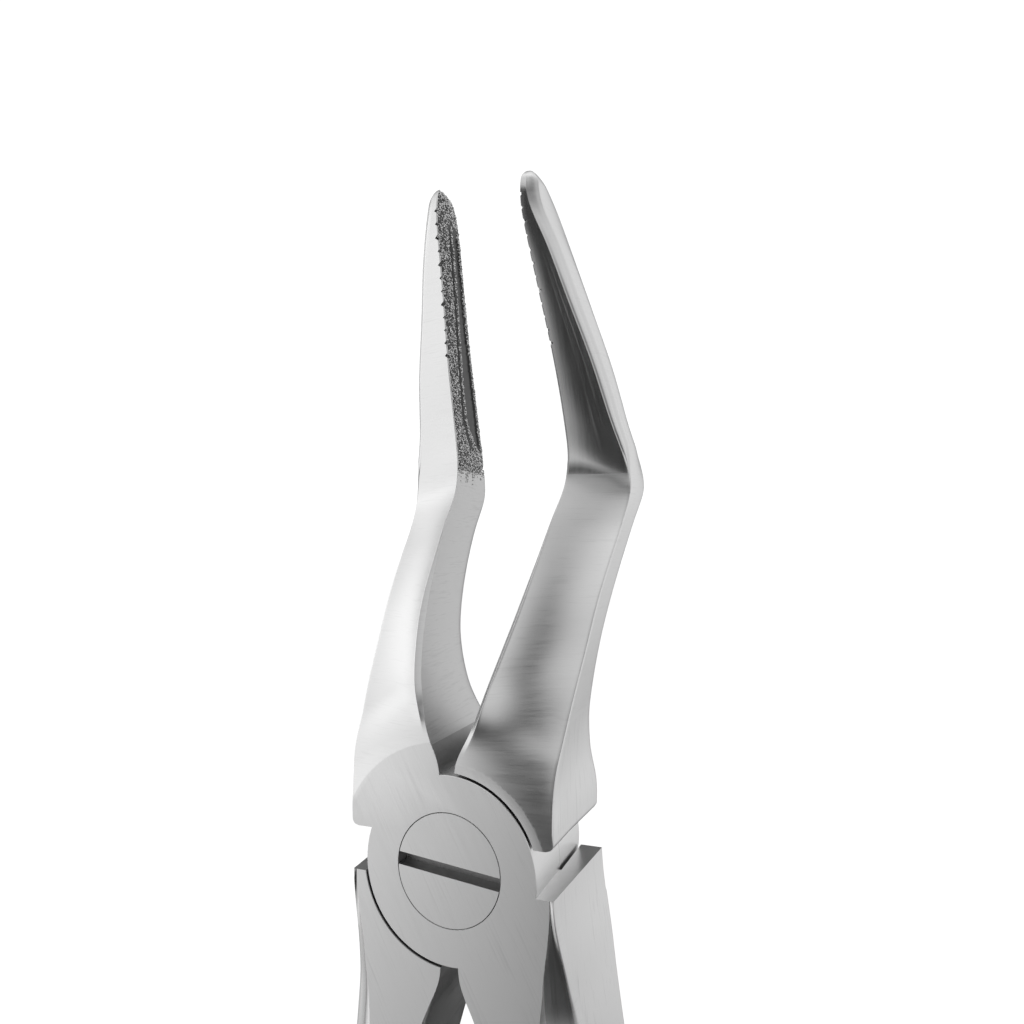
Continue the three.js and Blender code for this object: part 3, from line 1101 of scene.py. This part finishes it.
def pocket_profile(front_disc):
    """The room that the other half's disc turns in, flared where it meets the outside
    so that the cut leaves a small bevel."""
    wall = DISC_RADIUS + SEAM
    if front_disc:
        lap = LAP_Y - LAP_GAP / 2
        outside = BACK_Y + FLARE - BEVEL
        return [(0, lap), (wall, lap), (wall, BACK_Y - BEVEL), (wall + FLARE, outside), (0, outside)]
    lap = LAP_Y + LAP_GAP / 2
    outside = FRONT_Y - FLARE + BEVEL
    return [(0, outside), (wall + FLARE, outside), (wall, FRONT_Y + BEVEL), (wall, lap), (0, lap)]


def disc_profile(front_disc):
    """The half-thickness disc, with stock left on its outer face for the facing cut."""
    stock_radius = DISC_RADIUS - FACING_STOCK - BEVEL
    if front_disc:
        lap = LAP_Y - LAP_GAP / 2
        return [
            (0, FRONT_Y - FACING_STOCK),
            (stock_radius, FRONT_Y - FACING_STOCK),
            (DISC_RADIUS, FRONT_Y + BEVEL),
            (DISC_RADIUS, lap - BEVEL),
            (DISC_RADIUS - BEVEL, lap),
            (0, lap),
        ]
    lap = LAP_Y + LAP_GAP / 2
    return [
        (0, lap),
        (DISC_RADIUS - BEVEL, lap),
        (DISC_RADIUS, lap + BEVEL),
        (DISC_RADIUS, BACK_Y - BEVEL),
        (stock_radius, BACK_Y + FACING_STOCK),
        (0, BACK_Y + FACING_STOCK),
    ]


def bore_profile(front_disc):
    """The hole for the screw: a counterbore for its head in front, a plain hole behind.
    It starts and ends 1 mm outside the joint's faces."""
    shank = SHANK_RADIUS + FIT_GAP
    before, after = FRONT_Y - 1, BACK_Y + 1
    if front_disc:
        seat = HEAD_RADIUS + HEAD_GAP
        floor_y = FRONT_Y + HEAD_DEPTH + FLOOR_GAP
        return [
            (0, before),
            (seat + 1 + BORE_BEVEL, before),
            (seat, FRONT_Y + BORE_BEVEL),
            (seat, floor_y),
            (shank, floor_y),
            (shank, after),
            (0, after),
        ]
    return [
        (0, before),
        (shank, before),
        (shank, BACK_Y - BORE_BEVEL),
        (shank + 1 + BORE_BEVEL, after),
        (0, after),
    ]


print("seam", SEAM, "mm, lap gap", LAP_GAP, "mm")


# %% Forging
FLATS_BELOW = 2.4


def cut_round(body, name, profile, slot):
    """Cuts a turned shape out of a forging."""
    combine(body, lathe(name, profile, [slot] * len(profile)), "DIFFERENCE")


def forging(name, jaw_side, front_disc):
    """One half of the tool, with its jaw on the given side."""
    body = jaw(jaw_side)
    merge_apart(body, handle(-jaw_side))
    combine(body, nick_rods(jaw_side), "DIFFERENCE")
    combine(body, groove_rods(-jaw_side), "DIFFERENCE")
    # The pocket's wall and, below, the bore's wall take the darker cut grey: painted shade in the seam
    # and the hole.
    cut_round(body, "pocket", pocket_profile(front_disc), IN_SHADED_CUT)
    disc = disc_profile(front_disc)
    combine(body, lathe("disc", disc, [IN_SATIN] * len(disc)), "UNION")
    front_stock = block("front_facing", (-30, FRONT_Y - 9, -50), (30, FRONT_Y, 30), IN_GROUND)
    combine(body, front_stock, "DIFFERENCE")
    back_stock = [(0, BACK_Y), (11.5, BACK_Y), (11.5, BACK_Y + 2), (0, BACK_Y + 2)]
    cut_round(body, "back_facing", back_stock, IN_GROUND)
    cut_round(body, "bore", bore_profile(front_disc), IN_SHADED_CUT)
    body.name = name
    crisp(body)
    level_flats(body, FLATS_BELOW)
    print(name, len(body.data.polygons), "faces")
    return body


front_half = forging("front_half_forging", -1, True)
back_half = forging("back_half_forging", 1, False)


# %% [markdown]
# ## The pivot screw
#
# A turned screw with a flush slotted head. The slot is milled across the full head.


# %% Screw
SLOT_WIDTH = 1.1
SLOT_DEPTH = 1.4
SLOT_TILT = 6


def pivot_screw():
    r = HEAD_RADIUS
    profile = [
        (0, FRONT_Y),
        (r - 0.03, FRONT_Y),
        (r, FRONT_Y + 0.03),
        (r, FRONT_Y + HEAD_DEPTH),
        (SHANK_RADIUS, FRONT_Y + HEAD_DEPTH),
        (SHANK_RADIUS, BACK_Y - 0.05),
        (SHANK_RADIUS - 0.05, BACK_Y),
        (0, BACK_Y),
    ]
    # The screw's side, shank and slot walls take the darker cut grey as painted shade.
    slots = [IN_GROUND, IN_SHADED_CUT, IN_SHADED_CUT, IN_SHADED_CUT, IN_SHADED_CUT, IN_SHADED_CUT, IN_GROUND]
    body = lathe("pivot_screw_turned", profile, slots)
    tool = block(
        "slot_cutter",
        (-8, FRONT_Y - 1, -SLOT_WIDTH / 2),
        (8, FRONT_Y + SLOT_DEPTH, SLOT_WIDTH / 2),
        IN_SHADED_CUT,
    )
    tool.data.transform(Matrix.Rotation(math.radians(SLOT_TILT), 4, "Y"))
    combine(body, tool, "DIFFERENCE")
    crisp(body)
    return body


screw = pivot_screw()
print("screw", len(screw.data.polygons), "faces")

# %% [markdown]
# ## The grit lining
#
# Each jaw holds the tooth with a strip of grit bonded into its inner face. Seen close,
# the strip has bands: a wide gritty band at the front, a narrow groove, a fine ridge, a
# wide smooth groove, and a gritty rim. The bands are lofted as relief. The grains could
# be a bump texture, but at this size they catch the light one by one, so they are real
# grains scattered over the gritty bands by Geometry Nodes.


# %% Lining finishes
GRIT = steel("grit_grain", 0.56, 0.22, 0.06, (3.0, 3.0, 3.0), 0.004, mottle=0.35)
BOND = steel("grit_bond", 0.06, 0.42, 0.08, (4.0, 4.0, 4.0), 0.02, mottle=0.3)
GROOVE = steel("lining_groove", 0.07, 0.36, 0.06, (2.0, 2.0, 0.4), 0.004, mottle=0.3)
LINING_FINISHES = [BOND, GROOVE, GRIT]
(IN_BOND, IN_GROOVE, IN_GRIT) = range(3)
print("lining finishes:", [m.name for m in LINING_FINISHES])

# %% [markdown]
# ## The lining's strip
#
# The strip is lofted like the jaw: its face carries the bands as relief, its underside
# fills the seat, and its top follows the rounded jaw tip. Its sizes are read from the
# jaw's table, so that it can't stand out of its seat.

# %% Lining
LINING_TOP = 63.1
LINING_STEPS = 52
NOSE_FROM = 61.9
END_FALL = 0.35
GROOVES_FROM, GROOVES_TO = 38.0, 60.0
NARROW_DEPTH = 0.12
WIDE_DEPTH = 0.15
CROWN_DEPTH = 0.12


def lining_bands(z):
    """The narrow groove's middle and the wide groove's two edges, as fractions of the
    way back. They drift forward down the jaw, and the wide groove is closed off aslant."""
    climb = smooth(38.0, 58.0, z)
    aslant = 0.34 * (1 - smooth(37.0, 41.5, z))
    line = 0.34 + 0.15 * climb + 0.5 * aslant
    return line, 0.47 + 0.17 * climb + aslant, 0.88 - 0.01 * climb


def lining_relief(u, z):
    """How deep the lining lies at a fraction u from its front edge to its back edge."""
    run = smooth(37.4, 38.6, z) * (1 - smooth(58.8, 60.2, z))
    line, start, stop = lining_bands(z)
    narrow = NARROW_DEPTH * np.exp(-(((u - line) / 0.03) ** 2))
    wide = WIDE_DEPTH * smooth(-0.015, 0.015, u - start) * (1 - smooth(-0.015, 0.015, u - stop))
    crown = CROWN_DEPTH * (2 * np.clip(u, 0, 1) - 1) ** 4
    return run * np.maximum(narrow, wide) + crown


def lining_edges(s, z):
    """The lining's front edge, its back edge, and the front edge of its underside, which
    leans back so that the lining stays inside the lip."""
    dome = dome_scale(z, TIP_DOME, TIP_Z)
    middle = (s["front"] + s["back"]) / 2
    first = s["front"] + (LIP * smooth(63.4, 61.5, z) + 0.04)
    last = s["back"] - 0.05 * smooth(63.3, 62.0, z)
    first = middle + (first - middle) * dome
    last = middle + (last - middle) * dome
    return first, last, first + 0.24 * dome


def lining_face(s, z, u, seat):
    """How far out the gritty face lies: the relief, sinking towards the steel at the
    lower end and rounded off at the tip."""
    start = END_FALL * (1 - smooth(GRIT_FROM, GRIT_FROM + 0.9, z))
    nose = np.clip((z - NOSE_FROM) / (LINING_TOP + 0.05 - NOSE_FROM), 0, 1)
    face = s["inner"][:, None] + lining_relief(u[None, :], z[:, None]) + start[:, None]
    face = face + (END_FALL * (1 - np.sqrt(1 - nose**2)))[:, None]
    return np.minimum(face, seat[:, None] - 0.02)


def lining(side):
    """A lining strip as a closed loft in its seat in the jaw."""
    z = np.concatenate([np.arange(GRIT_FROM, 62.0, 0.2), np.linspace(62.0, LINING_TOP, 10)])
    s = jaw_sizes(z)
    u = np.linspace(0, 1, LINING_STEPS + 1)
    first, last, low = lining_edges(s, z)
    seat = s["inner"] + np.minimum(LINING_SINK, 0.4 * (s["side"] - s["inner"])) + 0.02
    face_y = first[:, None] + (last - first)[:, None] * u[None, :]
    under_y = low[:, None] + (last - low)[:, None] * u[None, :]
    face = np.stack([lining_face(s, z, u, seat), face_y], axis=2)
    under = np.stack([seat[:, None] + 0 * under_y, under_y], axis=2)[:, ::-1]
    points = np.concatenate([face, under], axis=1)[:, ::-1]
    columns = points.shape[1]

    def finish_of(i, height):
        column = columns - 1 - i
        if column > LINING_STEPS:
            return IN_GRIT
        place = (column - 0.5) / LINING_STEPS
        line, start, stop = lining_bands(height)
        narrow = abs(place - line) < 0.05
        wide = start < place < stop
        inside = GROOVES_FROM < height < GROOVES_TO
        return IN_GROOVE if inside and (narrow or wide) else IN_BOND

    strip = loft("grit_lining", z, points, side, finish_of, LINING_FINISHES)
    strip.name = "grit_lining_" + ("right_strip" if side > 0 else "left_strip")
    return strip


print("lining from", GRIT_FROM, "to", LINING_TOP, "mm")

# %% [markdown]
# ## The grains
#
# A grain is a ball of 20 faces, turned and squashed at random. Geometry Nodes scatter
# the grains over the faces that carry the bond finish and leave the grooves bare. Below
# the strip they are scattered over pointed tongues, so that the coating thins out.


# %% Grain tree
def grain_tree():
    """Scatters grains over the faces that carry the bond finish and face the tooth."""
    tree, given, result = geometry_group(
        "bonded_grains",
        {
            "Density": "NodeSocketFloat",
            "Grain Radius": "NodeSocketFloat",
            "Seed": "NodeSocketInt",
            "Grit": "NodeSocketMaterial",
        },
    )
    index = add(tree, "GeometryNodeInputMaterialIndex").outputs[0]
    bonded = add(
        tree, "FunctionNodeCompare", {2: index, 3: IN_BOND}, data_type="INT", operation="EQUAL"
    )
    scatter = add(
        tree,
        "GeometryNodeDistributePointsOnFaces",
        {
            "Mesh": given["Geometry"],
            "Selection": bonded.outputs[0],
            "Density": given["Density"],
            "Seed": given["Seed"],
        },
    )
    grain = add(tree, "GeometryNodeMeshIcoSphere", {"Radius": given["Grain Radius"], "Subdivisions": 1})
    turn = add(
        tree,
        "FunctionNodeRandomValue",
        {0: (0, 0, 0), 1: (6.28, 6.28, 6.28), "Seed": 3},
        data_type="FLOAT_VECTOR",
    )
    size = add(
        tree,
        "FunctionNodeRandomValue",
        {0: (0.5, 0.5, 0.5), 1: (1.25, 1.1, 0.9), "Seed": 5},
        data_type="FLOAT_VECTOR",
    )
    placed = add(
        tree,
        "GeometryNodeInstanceOnPoints",
        {
            "Points": scatter.outputs["Points"],
            "Instance": grain.outputs["Mesh"],
            "Rotation": turn.outputs[0],
            "Scale": size.outputs[0],
        },
    )
    real = add(tree, "GeometryNodeRealizeInstances", {0: placed.outputs[0]})
    coated = add(
        tree, "GeometryNodeSetMaterial", {"Geometry": real.outputs[0], "Material": given["Grit"]}
    )
    tree.links.new(coated.outputs[0], result)
    return tree


GRAINS = grain_tree()
print("grain tree:", len(GRAINS.nodes), "nodes")

# %% Grains
GRAIN_DENSITY = 26.0
GRAIN_RADIUS = 0.115
FADE_LENGTH = 2.4
FADE_TONGUES = 16
FADE_OVERLAP = 0.2
FADE_MARGIN = 0.25


def fading_edge(side, seed):
    """A row of pointed tongues on the steel below the lining. The grains scattered on
    them thin out down the jaw, as a coating does where it was masked off."""
    chance = np.random.default_rng(seed)
    z = np.linspace(GRIT_FROM - FADE_LENGTH, GRIT_FROM + FADE_OVERLAP, 20)
    s = jaw_sizes(z)
    corners, faces = [], []
    for k in range(FADE_TONGUES):
        length = FADE_LENGTH * chance.uniform(0.15, 1.0)
        for across, up in ((k, FADE_OVERLAP), (k + 1, FADE_OVERLAP), (k + 0.5, -length)):
            height = GRIT_FROM + up
            inner, front, back = (np.interp(height, z, s[name]) for name in ("inner", "front", "back"))
            y = front + FADE_MARGIN + (back - front - 2 * FADE_MARGIN) * across / FADE_TONGUES
            corners.append((side * inner * MM, y * MM, height * MM))
        faces.append((3 * k, 3 * k + 1, 3 * k + 2))
    mesh = bpy.data.meshes.new("fading_edge")
    mesh.from_pydata(corners, [], faces)
    return as_object("fading_edge", mesh, LINING_FINISHES)


def gritty(strip, side, seed):
    """Adds the grains to a lining strip as part of the same piece. The density is in
    grains per square millimetre."""
    values = {
        "Density": GRAIN_DENSITY / MM**2,
        "Grain Radius": GRAIN_RADIUS * MM,
        "Seed": seed,
        "Grit": GRIT,
    }
    crisp(strip, 40)
    grains = grown(strip, GRAINS, values)
    count = len(grains.polygons) // 20
    grains_object = bpy.data.objects.new("grains", grains)
    bpy.context.scene.collection.objects.link(grains_object)
    merge_apart(strip, grains_object)
    tongues = fading_edge(side, seed)
    tongues.data = grown(tongues, GRAINS, values)
    merge_apart(strip, tongues)
    print(strip.name, count, "grains")
    return strip


lining_right = gritty(lining(1), 1, 11)
lining_left = gritty(lining(-1), -1, 23)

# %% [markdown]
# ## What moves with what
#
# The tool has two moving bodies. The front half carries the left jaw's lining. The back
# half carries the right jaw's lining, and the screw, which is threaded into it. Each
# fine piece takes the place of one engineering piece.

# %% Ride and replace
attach(front_half, "front_body")
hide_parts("front_half")
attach(back_half, "back_body")
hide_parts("back_half")
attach(screw, "back_body")
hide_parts("pivot_screw")
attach(lining_right, "back_body")
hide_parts("grit_lining_right")
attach(lining_left, "front_body")
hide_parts("grit_lining_left")
